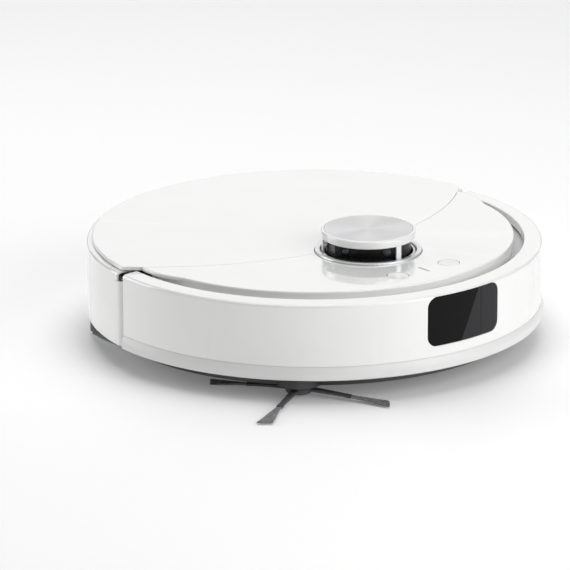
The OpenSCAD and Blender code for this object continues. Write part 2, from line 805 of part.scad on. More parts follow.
// The gearbox and motor sit a little inboard of their output shaft, clear of the tub's wall
module side_brush_motor() color([0.16, 0.16, 0.17]) {
    inboard = 0.966;
    translate([inboard * brush_x, inboard * brush_y, floor_z + 6]) cylinder(r = 14.5, h = 14);
    translate([inboard * brush_x, inboard * brush_y, floor_z + 20]) cylinder(r = 11, h = 18);
    translate([brush_x, brush_y, brush_z0 + 3]) cylinder(r = 2.5, h = floor_z + 4 - brush_z0);
}

module side_brush_arms() color([0.25, 0.25, 0.26]) translate([brush_x, brush_y, brush_z0]) difference() {
    union() {
        cylinder(r = brush_hub_r, h = 5.4);
        for (i = [0:arms - 1]) rotate([0, 0, brush_start + i * 360 / arms])
            translate([4, -2.2, 0.6]) cube([arm_reach * 0.56, 4.4, 3]);
    }
    translate([0, 0, 1.5]) cylinder(r = 2.5 + fit_gap, h = 10);
}

module side_brush_bristles() color([0.4, 0.4, 0.42]) translate([brush_x, brush_y, brush_z0])
    for (i = [0:arms - 1]) rotate([0, 0, brush_start + i * 360 / arms])
        translate([0, 0, -1.6]) linear_extrude(4.2)
            polygon([[arm_reach * 0.56 + 4, -2], [arm_reach, -6], [arm_reach, 6], [arm_reach * 0.56 + 4, 2]]);

// ---------- Drive ----------

module drive_arm(side) color([0.2, 0.2, 0.21]) mirror([side > 0 ? 0 : 1, 0, 0]) {
    difference() {
        union() {
            x_rod(arm_x0, arm_x1, pivot_y, pivot_z, 7);
            x_rod(arm_x0, arm_x1, wheel_y, wheel_r, 18);
            x_rod(arm_x0 + 1, arm_x1 - 1, -16, 50, 6.4);
            translate([arm_x0, 0, 0]) rotate([90, 0, 90]) linear_extrude(arm_x1 - arm_x0) polygon([
                [pivot_y, pivot_z + 7], [wheel_y, wheel_r + 18], [wheel_y, wheel_r - 18], [pivot_y, pivot_z - 7]
            ]);
        }
        x_rod(arm_x0 - 1, arm_x1 + 1, pivot_y, pivot_z, pivot_pin_r + fit_gap);
        x_rod(arm_x0 + 4, arm_x1 + 1, wheel_y, wheel_r, shaft_r + fit_gap);
    }
}

module drive_arm_left() drive_arm(left);

module drive_arm_right() drive_arm(right);

module suspension_pins() color("silver") for (side = [left, right]) mirror([side > 0 ? 0 : 1, 0, 0])
    x_rod(well_x0 - well_wall, 106, pivot_y, pivot_z, pivot_pin_r);

// Torsion coil round each suspension pin
module suspension_springs() color("silver") for (side = [left, right]) mirror([side > 0 ? 0 : 1, 0, 0])
    for (i = [0:2]) translate([arm_x1 + 1.1 + i * 1.3, pivot_y, pivot_z]) rotate([0, 90, 0])
        rotate_extrude() translate([4.2, 0]) circle(r = 0.6, $fn = 16);

module hub(side) color([0.3, 0.3, 0.32]) mirror([side > 0 ? 0 : 1, 0, 0]) {
    difference() {
        x_rod(tyre_x, tyre_x + tyre_w - 1, wheel_y, wheel_r, wheel_r - 5);
        x_rod(tyre_x + tyre_w - 5, tyre_x + tyre_w, wheel_y, wheel_r, wheel_r - 9);
        for (a = [0:60:300]) translate([tyre_x - 1, wheel_y, wheel_r]) rotate([a, 0, 0])
            translate([0, 15, 0]) rotate([0, 90, 0]) cylinder(r = 4.5, h = 40);
    }
    x_rod(arm_x0 + 5, tyre_x + tyre_w - 3, wheel_y, wheel_r, shaft_r);
}

module hub_left() hub(left);

module hub_right() hub(right);

module tyre(side) color([0.1, 0.1, 0.1]) mirror([side > 0 ? 0 : 1, 0, 0]) difference() {
    x_rod(tyre_x, tyre_x + tyre_w, wheel_y, wheel_r, wheel_r);
    x_rod(tyre_x - 1, tyre_x + tyre_w + 1, wheel_y, wheel_r, wheel_r - 5);
    for (a = [0:20:340]) translate([tyre_x + tyre_w / 2, wheel_y, wheel_r]) rotate([a + 10, 0, 0])
        translate([0, 0, wheel_r]) cube([tyre_w * 0.7, 3, 3], center = true);
}

module tyre_left() tyre(left);

module tyre_right() tyre(right);

module caster_fork() color([0.85, 0.85, 0.86]) {
    difference() {
        union() {
            translate([0, caster_y, fork_z0]) cylinder(r = fork_r, h = fork_z1 - fork_z0);
            translate([0, caster_y, fork_z1 - 1]) cylinder(r = stem_r, h = 12);
        }
        wheel_pocket();
    }
    caster_axle();
}

module caster_axle() {
    x_rod(-13, 13, caster_y + caster_trail, caster_r, 1.5);
}

module wheel_pocket() {
    x_rod(-caster_half_w - 0.8, caster_half_w + 0.8, caster_y + caster_trail, caster_r, caster_r + 1.5);
    box(-caster_half_w - 0.8, caster_half_w + 0.8, caster_y + caster_trail - caster_r - 1.5,
        caster_y + caster_trail + caster_r + 1.5, 0, caster_r);
}

module caster_wheel() color([0.2, 0.2, 0.21]) difference() {
    union() {
        x_rod(-caster_half_w, caster_half_w, caster_y + caster_trail, caster_r, caster_r);
        x_rod(-caster_half_w - 0.5, caster_half_w + 0.5, caster_y + caster_trail, caster_r, 3);
    }
    x_rod(-10, 10, caster_y + caster_trail, caster_r, 1.5 + fit_gap);
}

// ---------- Dust box ----------

module dustbin() color([0.5, 0.52, 0.56]) difference() {
    box(-bay_x + bin_gap, bay_x - bin_gap, bay_y0 + bin_gap, bay_y1 - bin_gap, bay_z0 + 0.5, 70);
    box(-bay_x + bin_gap + bin_wall, bay_x - bin_gap - bin_wall, bay_y0 + bin_gap + bin_wall,
        bay_y1 - bin_gap - bin_wall, bay_z0 + 0.5 + bin_wall, 71);
    box(-inlet_w / 2 + 1, inlet_w / 2 - 1, bay_y0 - 1, bay_y0 + 6, inlet_z0 + 1, inlet_z1 - 1);
    box(bay_x - 6, bay_x + 4, fan_y - 17, fan_y + 17, fan_z - 14, fan_z + 14);
}

module dustbin_cover() color([0.28, 0.28, 0.3]) difference() {
    union() {
        box(-bay_x + bin_gap, bay_x - bin_gap, bay_y0 + bin_gap, bay_y1 - bin_gap, 70, 73);
        box(-bay_x + bin_gap + bin_wall + 0.3, bay_x - bin_gap - bin_wall - 0.3,
            bay_y0 + bin_gap + bin_wall + 0.3, bay_y1 - bin_gap - bin_wall - 0.3, 68, 70);
    }
    difference() {
        box(-30, 30, bay_y0 + 24, bay_y0 + 48, 69.5, 80);
        box(-31, 31, bay_y0 + 32, bay_y0 + 40, 71.4, 81);
    }
}

module dust_filter() color("white") {
    x0 = bay_x - 16;
    difference() {
        box(x0, bay_x - bin_gap - bin_wall, fan_y - 20, fan_y + 20, fan_z - 16, fan_z + 16);
        for (i = [-4:4]) box(x0 - 1, bay_x - 5, fan_y + i * 4 - 0.8, fan_y + i * 4 + 0.8, fan_z - 13, fan_z + 13);
    }
}

// ---------- Mop module ----------

// Outline shared by the tank, bracket and pad: a circle with straight front and sides
module mop_outline(inset, z0, z1) {
    intersection() {
        translate([0, 0, z0]) cylinder(r = mop_r - inset, h = z1 - z0);
        box(-mop_x + inset, mop_x - inset, mop_y0 + inset, 200, z0, z1);
    }
}

module water_tank() color([0.14, 0.14, 0.16]) difference() {
    mop_outline(0, mop_z0 + 2.8, mop_z1);
    mop_outline(2.5, mop_z0 + 5, mop_z1 - 2);
}

module mop_bracket() color([0.2, 0.2, 0.22]) mop_outline(1.5, mop_z0, mop_z0 + 2.8);

module mop_pad() color([0.75, 0.76, 0.8]) mop_outline(5, 0, mop_z0);

chassis();
top_frame();
rear_shell();
front_panel();
hinge_pins();
status_light();
lidar_collar();
lidar_base();
lidar_cover();
lidar_disc();
lidar_motor();
lidar_belt();
sensor_module();
battery();
battery_cover();
main_board();
speaker();
fan_housing();
exhaust_grille();
dock_window();
charge_contacts();
cliff_windows();
chassis_screws();
roller_cover();
roller_gearbox();
roller_motor();
side_brush_motor();
suspension_pins();
suspension_springs();
bumper();
bumper_lip();
sensor_window();
lid();
power_button();
dock_button();
lidar_rotor();
lidar_lenses();
lidar_pulley();
fan_impeller();
dustbin();
dustbin_cover();
dust_filter();
roller_core();
roller_blades();
side_brush_arms();
side_brush_bristles();
drive_arm_left();
drive_arm_right();
hub_left();
hub_right();
tyre_left();
tyre_right();
caster_fork();
caster_wheel();
water_tank();
mop_bracket();
mop_pad();
latch_left();
latch_right();
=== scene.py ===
"""Robot vacuum: detailed shells, turret, brushes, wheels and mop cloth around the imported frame."""
import json
import math
import random

import bmesh
import bpy
from mathutils import Matrix, Vector


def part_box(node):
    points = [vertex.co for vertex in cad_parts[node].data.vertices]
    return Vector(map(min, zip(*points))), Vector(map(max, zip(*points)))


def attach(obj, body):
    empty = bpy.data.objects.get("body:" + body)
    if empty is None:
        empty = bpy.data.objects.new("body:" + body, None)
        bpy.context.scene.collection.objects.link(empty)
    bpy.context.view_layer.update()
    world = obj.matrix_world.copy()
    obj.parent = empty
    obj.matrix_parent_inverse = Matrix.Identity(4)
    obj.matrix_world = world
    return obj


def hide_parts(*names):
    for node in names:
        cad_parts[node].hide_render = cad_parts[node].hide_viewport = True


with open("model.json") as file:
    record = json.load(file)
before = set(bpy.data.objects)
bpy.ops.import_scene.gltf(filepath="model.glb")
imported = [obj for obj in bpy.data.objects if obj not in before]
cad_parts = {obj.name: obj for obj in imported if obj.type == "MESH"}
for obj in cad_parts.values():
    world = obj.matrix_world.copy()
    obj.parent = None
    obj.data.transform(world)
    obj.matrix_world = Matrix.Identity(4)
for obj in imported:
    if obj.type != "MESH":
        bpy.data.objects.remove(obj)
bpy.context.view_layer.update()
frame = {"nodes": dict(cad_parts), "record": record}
random.seed(7)
MM = 0.001


# ---------- Mesh helpers (all lengths in metres) ----------

def new_piece(name, bm):
    """Turns a bmesh into an object with outward normals."""
    bmesh.ops.remove_doubles(bm, verts=bm.verts, dist=1e-7)
    bmesh.ops.recalc_face_normals(bm, faces=bm.faces)
    mesh = bpy.data.meshes.new(name)
    bm.to_mesh(mesh)
    bm.free()
    obj = bpy.data.objects.new(name, mesh)
    bpy.context.scene.collection.objects.link(obj)
    return obj


def arc(cx, cy, r, a0, a1, n=6):
    """Points along an arc, in degrees."""
    steps = [math.radians(a0 + (a1 - a0) * i / n) for i in range(n + 1)]
    return [(cx + r * math.cos(a), cy + r * math.sin(a)) for a in steps]


def revolve(name, outline, steps=288, centre=(0, 0)):
    """Full turn of a closed (radius, height) outline about a vertical axis."""
    bm = bmesh.new()
    rings = []
    for i in range(steps):
        a = 2 * math.pi * i / steps
        c, s = math.cos(a), math.sin(a)
        rings.append([bm.verts.new((centre[0] + r * c, centre[1] + r * s, z)) for r, z in outline])
    n = len(outline)
    for i in range(steps):
        one, two = rings[i], rings[(i + 1) % steps]
        for j in range(n):
            k = (j + 1) % n
            if outline[j][0] < 1e-9 and outline[k][0] < 1e-9:
                continue
            bm.faces.new((one[j], two[j], two[k], one[k]))
    bmesh.ops.remove_doubles(bm, verts=bm.verts, dist=1e-7)
    bmesh.ops.dissolve_degenerate(bm, edges=bm.edges, dist=1e-8)
    return new_piece(name, bm)


def prism(name, outline, z0, z1, turn=None):
    """Straight extrusion of a plan outline; turn is an optional matrix."""
    bm = bmesh.new()
    low = [bm.verts.new((x, y, z0)) for x, y in outline]
    high = [bm.verts.new((x, y, z1)) for x, y in outline]
    bm.faces.new(list(reversed(low)))
    bm.faces.new(high)
    n = len(outline)
    for i in range(n):
        k = (i + 1) % n
        bm.faces.new((low[i], low[k], high[k], high[i]))
    if turn is not None:
        bmesh.ops.transform(bm, matrix=turn, verts=bm.verts)
    return new_piece(name, bm)


def block(name, low, high):
    return prism(name, [(low[0], low[1]), (high[0], low[1]), (high[0], high[1]), (low[0], high[1])],
                 low[2], high[2])


def rounded_rectangle(w, h, r, n=8):
    x, y = w / 2 - r, h / 2 - r
    return (arc(x, y, r, 0, 90, n) + arc(-x, y, r, 90, 180, n)
            + arc(-x, -y, r, 180, 270, n) + arc(x, -y, r, 270, 360, n))


def apply_modifiers(obj):
    graph = bpy.context.evaluated_depsgraph_get()
    mesh = bpy.data.meshes.new_from_object(obj.evaluated_get(graph))
    old = obj.data
    obj.modifiers.clear()
    obj.data = mesh
    mesh.name = obj.name
    bpy.data.meshes.remove(old)


def combine(obj, other, operation):
    """Boolean of two closed pieces; the second one is used up."""
    mod = obj.modifiers.new("combine", "BOOLEAN")
    mod.operation = operation
    mod.solver = "EXACT"
    mod.object = other
    apply_modifiers(obj)
    bpy.data.objects.remove(other)
    return obj


def cut(obj, other):
    return combine(obj, other, "DIFFERENCE")


def keep(obj, other):
    return combine(obj, other, "INTERSECT")


def join(name, pieces):
    """One object out of several separate solids."""
    bm = bmesh.new()
    for piece in pieces:
        piece.data.transform(piece.matrix_world)
        bm.from_mesh(piece.data)
        bpy.data.objects.remove(piece)
    mesh = bpy.data.meshes.new(name)
    bm.to_mesh(mesh)
    bm.free()
    obj = bpy.data.objects.new(name, mesh)
    bpy.context.scene.collection.objects.link(obj)
    return obj


BEVEL_ANGLE = math.radians(38)
SHARP_ANGLE = math.radians(45)


def soften(obj, width, segments=3):
    """Rounds the sharp edges, where a width is given, and shades the rest smooth."""
    if width > 0:
        mod = obj.modifiers.new("edges", "BEVEL")
        mod.width = width
        mod.segments = segments
        mod.limit_method = "ANGLE"
        mod.angle_limit = BEVEL_ANGLE
        mod.use_clamp_overlap = True
        apply_modifiers(obj)
    mesh = obj.data
    mesh.polygons.foreach_set("use_smooth", [True] * len(mesh.polygons))
    mesh.set_sharp_from_angle(angle=SHARP_ANGLE)
    mod = obj.modifiers.new("normals", "WEIGHTED_NORMAL")
    mod.keep_sharp = True
    mod.weight = 60
    apply_modifiers(obj)
    return obj


def tube_along(bm, points, radii, sides=6):
    """Adds a round tube along points to a bmesh."""
    rings = []
    for i, p in enumerate(points):
        ahead = points[min(i + 1, len(points) - 1)]
        behind = points[max(i - 1, 0)]
        d = (ahead - behind).normalized()
        side = d.cross(Vector((0, 0, 1)))
        side = side.normalized() if side.length > 1e-6 else Vector((1, 0, 0))
        up = side.cross(d)
        ring = []
        for k in range(sides):
            a = 2 * math.pi * k / sides
            ring.append(bm.verts.new(p + radii[i] * (math.cos(a) * side + math.sin(a) * up)))
        rings.append(ring)
    for one, two in zip(rings, rings[1:]):
        for k in range(sides):
            m = (k + 1) % sides
            bm.faces.new((one[k], one[m], two[m], two[k]))
    bm.faces.new(list(reversed(rings[0])))
    bm.faces.new(rings[-1])


# ---------- Materials ----------

NOISE_SPAN = (0.3, 0.7)         # nearly all of a noise texture's values lie between these
WORN_POINTINESS = (0.52, 0.62)  # where an edge starts to be worn, and where it is fully worn
BUMP_DEPTH = 0.0002


def material(name, color, rough=(0.3, 0.4), metallic=0.0, ior=1.5, tone=0.03, tone_scale=25,
             grain=0.0, grain_scale=900, ripple=0.0, ripple_scale=60, wear=0.0, wear_color=None,
             coat=0.0, sheen=0.0, anisotropy=0.0, mask=None):
    """Procedural surface: uneven tone, uneven gloss, fine grain, moulding ripple and worn edges."""
    mat = bpy.data.materials.new(name)
    mat.use_nodes = True
    tree = mat.node_tree
    shader = tree.nodes["Principled BSDF"]
    link = tree.links.new
    where = tree.nodes.new("ShaderNodeTexCoord").outputs["Object"]

    def noise(scale, detail=3.0):
        node = tree.nodes.new("ShaderNodeTexNoise")
        node.inputs["Scale"].default_value = scale
        node.inputs["Detail"].default_value = detail
        link(where, node.inputs["Vector"])
        return node.outputs["Fac"]

    def spread(source, low, high):
        node = tree.nodes.new("ShaderNodeMapRange")
        node.inputs["From Min"].default_value = NOISE_SPAN[0]
        node.inputs["From Max"].default_value = NOISE_SPAN[1]
        node.inputs["To Min"].default_value = low
        node.inputs["To Max"].default_value = high
        link(source, node.inputs["Value"])
        return node.outputs["Result"]

    mix = tree.nodes.new("ShaderNodeMix")
    mix.data_type = "RGBA"
    mix.inputs["A"].default_value = (*[max(0, c * (1 - tone)) for c in color], 1)
    mix.inputs["B"].default_value = (*[min(1, c * (1 + tone)) for c in color], 1)
    link(spread(noise(tone_scale), 0, 1), mix.inputs["Factor"])
    tint = mix.outputs["Result"]
    if wear > 0:
        edge = tree.nodes.new("ShaderNodeNewGeometry").outputs["Pointiness"]
        ramp = tree.nodes.new("ShaderNodeMapRange")
        ramp.inputs["From Min"].default_value = WORN_POINTINESS[0]
        ramp.inputs["From Max"].default_value = WORN_POINTINESS[1]
        ramp.inputs["To Max"].default_value = wear
        link(edge, ramp.inputs["Value"])
        worn = tree.nodes.new("ShaderNodeMix")
        worn.data_type = "RGBA"
        paler = wear_color or [min(1, c * 1.6 + 0.03) for c in color]
        worn.inputs["B"].default_value = (*paler, 1)
        link(ramp.outputs["Result"], worn.inputs["Factor"])
        link(tint, worn.inputs["A"])
        tint = worn.outputs["Result"]
    if mask is not None:
        tint = mask(tree, where, tint)
    link(tint, shader.inputs["Base Color"])
    link(spread(noise(tone_scale * 3, 5.0), rough[0], rough[1]), shader.inputs["Roughness"])
    normal = None
    for strength, scale in ((ripple, ripple_scale), (grain, grain_scale)):
        if strength > 0:
            bump = tree.nodes.new("ShaderNodeBump")
            bump.inputs["Strength"].default_value = strength
            bump.inputs["Distance"].default_value = BUMP_DEPTH
            link(noise(scale), bump.inputs["Height"])
            if normal is not None:
                link(normal, bump.inputs["Normal"])
            normal = bump.outputs["Normal"]
    if normal is not None:
        link(normal, shader.inputs["Normal"])
    shader.inputs["Metallic"].default_value = metallic
    shader.inputs["IOR"].default_value = ior
    shader.inputs["Coat Weight"].default_value = coat
    shader.inputs["Sheen Weight"].default_value = sheen
    shader.inputs["Anisotropic"].default_value = anisotropy
    return mat


def brushed_disc_material(name, color, rough, centre):
    """Spun metal: fine rings about a vertical axis, with highlights that run out from it."""
    mat = material(name, color, rough=rough, metallic=0.9, tone=0.02, anisotropy=0.8)
    tree = mat.node_tree
    shader = tree.nodes["Principled BSDF"]
    link = tree.links.new
    where = tree.nodes.new("ShaderNodeTexCoord").outputs["Object"]
    shift = tree.nodes.new("ShaderNodeMapping")
    shift.inputs["Location"].default_value = (-centre[0], -centre[1], 0)
    link(where, shift.inputs["Vector"])
    rings = tree.nodes.new("ShaderNodeTexWave")
    rings.wave_type = "RINGS"
    rings.rings_direction = "Z"
    rings.inputs["Scale"].default_value = 420
    rings.inputs["Distortion"].default_value = 1.5
    link(shift.outputs["Vector"], rings.inputs["Vector"])
    bump = tree.nodes.new("ShaderNodeBump")
    bump.inputs["Strength"].default_value = 0.02
    bump.inputs["Distance"].default_value = 0.0001
    link(rings.outputs["Fac"], bump.inputs["Height"])
    link(bump.outputs["Normal"], shader.inputs["Normal"])
    tangent = tree.nodes.new("ShaderNodeTangent")
    tangent.direction_type = "RADIAL"
    tangent.axis = "Z"
    link(tangent.outputs["Tangent"], shader.inputs["Tangent"])
    return mat


def cloth_material(name, color):
    """Short fibres or loops: speckled tone, strong fine bump and a soft sheen."""
    return material(name, color, rough=(0.85, 0.98), tone=0.22, tone_scale=420, grain=1.0,
                    grain_scale=1500, ripple=0.8, ripple_scale=260, sheen=0.4)


def painted_reflection_mask(tree, where, tint):
    """Painted reflection: a paler dark grey over one side of the front window, with a slanted edge
    and one fine darker line through it.
    """
    middle_z, slope = 0.056, 0.45
    edge_x, sharpness = 0.004, 900.0
    line_x, line_half_width, line_depth = 0.0155, 0.0003, 0.7
    link = tree.links.new
    parts = tree.nodes.new("ShaderNodeSeparateXYZ")
    link(where, parts.inputs[0])

    def maths(operation, a, b):
        node = tree.nodes.new("ShaderNodeMath")
        node.operation = operation
        for slot_in, value in zip(node.inputs, (a, b)):
            if isinstance(value, float):
                slot_in.default_value = value
            else:
                link(value, slot_in)
        return node.outputs[0]

    # The side of the slanted edge that gets the painted reflection, less the fine line
    slant = maths("MULTIPLY", maths("SUBTRACT", parts.outputs["Z"], middle_z), slope)
    across = maths("SUBTRACT", maths("SUBTRACT", parts.outputs["X"], edge_x), slant)
    reflected_side = maths("MINIMUM", maths("MAXIMUM", maths("MULTIPLY", across, sharpness), 0.0), 1.0)
    off_line = maths("ABSOLUTE", maths("SUBTRACT", parts.outputs["X"], line_x), 0.0)
    line = maths("LESS_THAN", off_line, line_half_width)
    # Painted reflection colour, laid over the window's smoked black
    paler = tree.nodes.new("ShaderNodeMix")
    paler.data_type = "RGBA"
    paler.inputs["B"].default_value = (0.030, 0.030, 0.032, 1)
    link(tint, paler.inputs["A"])
    link(maths("SUBTRACT", reflected_side, maths("MULTIPLY", line, line_depth)), paler.inputs["Factor"])
    return paler.outputs["Result"]


disc_low, disc_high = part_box("lidar_disc")
TURRET = ((disc_low.x + disc_high.x) / 2, (disc_low.y + disc_high.y) / 2)
WHITE = (0.90, 0.90, 0.893)
looks = {
    "shell_white": material("gloss_white", WHITE, rough=(0.05, 0.08), tone=0.008, ripple=0.015,
                            grain=0.01, wear=0.25, wear_color=(0.97, 0.97, 0.965), coat=0.8,
                            ior=1.55),
    "lip_white": material("satin_white", (0.80, 0.80, 0.795), rough=(0.28, 0.36), tone=0.012,
                          grain=0.06, wear=0.2, wear_color=(0.9, 0.9, 0.9)),
    "button_white": material("button_white", (0.86, 0.86, 0.855), rough=(0.12, 0.18), tone=0.01,
                             grain=0.03),
    # The window's colour holds a painted reflection, drawn by its mask
    "window_black": material("smoked_window_painted_reflection", (0.0025, 0.0025, 0.003), rough=(0.03, 0.07),
                             tone=0.1, ripple=0.01, ior=1.22, mask=painted_reflection_mask),
    "light_diffuser": material("light_diffuser", (0.42, 0.43, 0.45), rough=(0.3, 0.4), tone=0.03,
                               grain=0.05),
    "chassis_plastic": material("dark_plastic", (0.035, 0.035, 0.038), rough=(0.45, 0.6), tone=0.1,
                                grain=0.35, grain_scale=2200, wear=0.5),
    "inner_white": material("inner_white", (0.62, 0.62, 0.62), rough=(0.4, 0.5), tone=0.04,
                            grain=0.15, wear=0.2, wear_color=(0.7, 0.7, 0.7)),
    "frame_plastic": material("grey_plastic", (0.10, 0.10, 0.104), rough=(0.4, 0.55), tone=0.08,
                              grain=0.25, grain_scale=2200, wear=0.4),
    "collar_metal": material("satin_ring", (0.80, 0.81, 0.82), rough=(0.30, 0.36), metallic=0.55,
                             tone=0.015, wear=0.3, wear_color=(0.9, 0.9, 0.91), coat=0.3),
    "disc_metal": brushed_disc_material("spun_metal", (0.66, 0.66, 0.67), (0.32, 0.38), TURRET),
    "rotor_black": material("rotor_black", (0.012, 0.012, 0.013), rough=(0.22, 0.32), tone=0.1,
                            grain=0.08, wear=0.4),
    "lens_glass": material("lens", (0.10, 0.11, 0.14), rough=(0.03, 0.06), tone=0.2, ripple=0.01,
                           coat=1.0, ior=1.7),
    "belt_rubber": material("belt_rubber", (0.02, 0.02, 0.02), rough=(0.7, 0.85), grain=0.3,
                            tone=0.2),
    "steel": material("zinc_steel", (0.55, 0.55, 0.57), rough=(0.25, 0.4), metallic=1.0, tone=0.06,
                      grain=0.1),
    "contact_metal": material("contact", (0.75, 0.72, 0.62), rough=(0.15, 0.3), metallic=1.0,
                              tone=0.06, grain=0.06, wear=0.3),
    "board": material("board_green", (0.02, 0.13, 0.06), rough=(0.3, 0.45), tone=0.15, grain=0.2,
                      coat=0.3),
    "battery_wrap": material("battery_wrap", (0.03, 0.06, 0.2), rough=(0.2, 0.35), tone=0.05,
                             ripple=0.3, ripple_scale=140),
    "speaker_cone": material("speaker_black", (0.02, 0.02, 0.02), rough=(0.6, 0.75), tone=0.2,
                             grain=0.4),
    "impeller_plastic": material("impeller_grey", (0.42, 0.42, 0.44), rough=(0.35, 0.5), tone=0.05,
                                 grain=0.15),
    "bin_smoke": material("bin_smoke", (0.05, 0.054, 0.06), rough=(0.08, 0.18), tone=0.08,
                          ripple=0.05, wear=0.4, coat=0.4),
    "filter_media": cloth_material("filter_paper", (0.8, 0.79, 0.75)),
    "roller_plastic": material("orange_plastic", (0.62, 0.13, 0.02), rough=(0.35, 0.5), tone=0.06,
                               grain=0.2, wear=0.3),
    "blade_rubber": material("blade_rubber", (0.035, 0.035, 0.04), rough=(0.5, 0.65), tone=0.15,
                             grain=0.3),
    "brush_rubber": material("brush_rubber", (0.075, 0.075, 0.08), rough=(0.5, 0.65), tone=0.12,
                             grain=0.3),
    "bristle": material("bristle", (0.24, 0.24, 0.245), rough=(0.4, 0.55), tone=0.3,
                        tone_scale=300, grain=0.2),
    "hub_plastic": material("hub_plastic", (0.11, 0.11, 0.118), rough=(0.4, 0.55), tone=0.08,
                            grain=0.3, wear=0.4),
    "tread": material("tread", (0.02, 0.02, 0.02), rough=(0.7, 0.9), tone=0.3, grain=0.5, wear=0.5,
                      wear_color=(0.08, 0.078, 0.074)),
    "tank_plastic": material("tank_plastic", (0.022, 0.022, 0.025), rough=(0.12, 0.25), tone=0.1,
                             grain=0.06, wear=0.4, coat=0.2),
    "mop_cloth": cloth_material("mop_cloth", (0.34, 0.36, 0.42)),
}

slot_of = {row["node"]: row["material_slot"] for row in frame["record"]["subparts"]}

# CAD nodes whose finish differs a little from that of their slot
OWN_LOOK = {"status_light": "light_diffuser", "top_frame": "inner_white"}


def dress(obj, look):
    obj.data.materials.clear()
    obj.data.materials.append(look)


def place(obj, body, slot, *nodes):
    """Gives a piece its look, its body and the CAD nodes that it stands for."""
    dress(obj, looks[slot])
    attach(obj, body)
    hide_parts(*nodes)
    return obj


for node, obj in frame["nodes"].items():
    dress(obj, looks[OWN_LOOK.get(node, slot_of[node])])

# ---------- Measures shared by the pieces ----------

bumper_low, bumper_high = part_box("bumper")
BODY_R = bumper_high.x
RIM_Z = bumper_high.z
SEAM_Z = bumper_low.z
END_Y = bumper_high.y
lip_low, lip_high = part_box("bumper_lip")
LIP_R = lip_high.x
LIP_Z = lip_low.z
lid_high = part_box("lid")[1]
DECK_Z = lid_high.z
LID_R = lid_high.y
PANEL_R = -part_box("front_panel")[0].y
DISC_R = (disc_high.x - disc_low.x) / 2
CAP_Z = disc_high.z
cover_low, cover_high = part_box("lidar_cover")
CAP_R = (cover_high.x - cover_low.x) / 2
collar_low, collar_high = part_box("lidar_collar")
COLLAR_R = (collar_high.x - collar_low.x) / 2
COLLAR_Z = collar_high.z
WALL = 2 * MM
DECK_T = 2.6 * MM
INNER_R = BODY_R - WALL
RIM_R = 159.6 * MM      # inner edge of the flat rim
RIM_DROP = 70.6 * MM    # height that the rim's inner edge goes down to
SEAM_Y = 190.3 * MM     # centre of the curved seam between lid and front panel
SEAM_R = 238 * MM
SEAM_GAP = 0.25 * MM
FAR = 0.3               # reach of a cut that has to pass everything
CUT_LOW, CUT_HIGH = 0.06, 0.1  # height span of a cut through the deck


def wall_outline(z0):
    """Section of the wall and its flat rim, shared by the bumper and the rear shell."""
    crease = BODY_R - 2.5 * MM
    crease_z = RIM_Z - 0.5 * MM
    return ([(INNER_R, z0), (BODY_R, z0)]
            + arc(crease, crease_z - 2.5 * MM, 2.5 * MM, 0, 84, 9)
            + arc(RIM_R + 1 * MM, RIM_Z - 1 * MM, 1 * MM, 92, 180, 6)
            + [(RIM_R, RIM_DROP), (RIM_R + WALL, RIM_DROP), (RIM_R + WALL, RIM_Z - WALL),
               (crease - 1 * MM, crease_z - WALL)]
            + arc(crease - 1 * MM, crease_z - WALL - 1.5 * MM, 1.5 * MM, 84, 0, 5))


def plug(r, steps, centre):
    """Upright cylinder that cuts through the deck."""
    outline = [(0, CUT_LOW), (r, CUT_LOW), (r, CUT_HIGH), (0, CUT_HIGH)]
    return revolve("trim", outline, steps, centre)


def facing_pad(name, w, z0, z1, r, y0, y1):
    """Rounded rectangle that runs along Y."""
    turn = Matrix.Translation((0, 0, (z0 + z1) / 2)) @ Matrix.Rotation(math.radians(90), 4, "X")
    return prism(name, rounded_rectangle(w, z1 - z0, r, 10), -y1, -y0, turn)


# ---------- Bumper ----------

window_low, window_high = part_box("sensor_window")
WINDOW_W = window_high.x - window_low.x
WINDOW_GAP = 0.3 * MM
WINDOW_CORNER = 8 * MM
FRONT_Y = -0.2          # in front of everything

bumper = revolve("bumper_shell", wall_outline(SEAM_Z + 0.1 * MM))
cut(bumper, block("trim", (-FAR, END_Y, -FAR), (FAR, FAR, FAR)))
cut(bumper, facing_pad("trim", WINDOW_W + 2 * WINDOW_GAP, window_low.z - WINDOW_GAP,
                       window_high.z + WINDOW_GAP, WINDOW_CORNER, FRONT_Y, -0.1635))
soften(bumper, 0.55 * MM, 3)
place(bumper, "bumper", "shell_white", "bumper")

lip = revolve("bumper_skirt", [(INNER_R, LIP_Z + 0.8 * MM), (INNER_R + 0.8 * MM, LIP_Z)]
              + arc(LIP_R - 1.5 * MM, LIP_Z + 1.5 * MM, 1.5 * MM, -90, 0, 7)
              + [(LIP_R, LIP_Z + 4 * MM), (LIP_R - 0.35 * MM, LIP_Z + 6.2 * MM),
                 (BODY_R + 0.3 * MM, SEAM_Z - 1 * MM), (BODY_R - 0.2 * MM, SEAM_Z - 0.3 * MM),
                 (BODY_R - 0.7 * MM, SEAM_Z), (INNER_R, SEAM_Z)])
cut(lip, block("trim", (-FAR, END_Y, -FAR), (FAR, FAR, FAR)))
soften(lip, 0.25 * MM, 2)
place(lip, "bumper", "lip_white", "bumper_lip")

PANE_IN, PANE_OUT = INNER_R + 0.1 * MM, BODY_R - 0.25 * MM
window = revolve("front_window", [(PANE_IN, window_low.z), (PANE_OUT, window_low.z),
                                  (PANE_OUT, window_high.z), (PANE_IN, window_high.z)], 576)
keep(window, facing_pad("trim", WINDOW_W, window_low.z, window_high.z, WINDOW_CORNER - WINDOW_GAP,
                        FRONT_Y, -0.14))
soften(window, 0.5 * MM, 3)
place(window, "bumper", "window_black", "sensor_window")

# ---------- Rear shell ----------

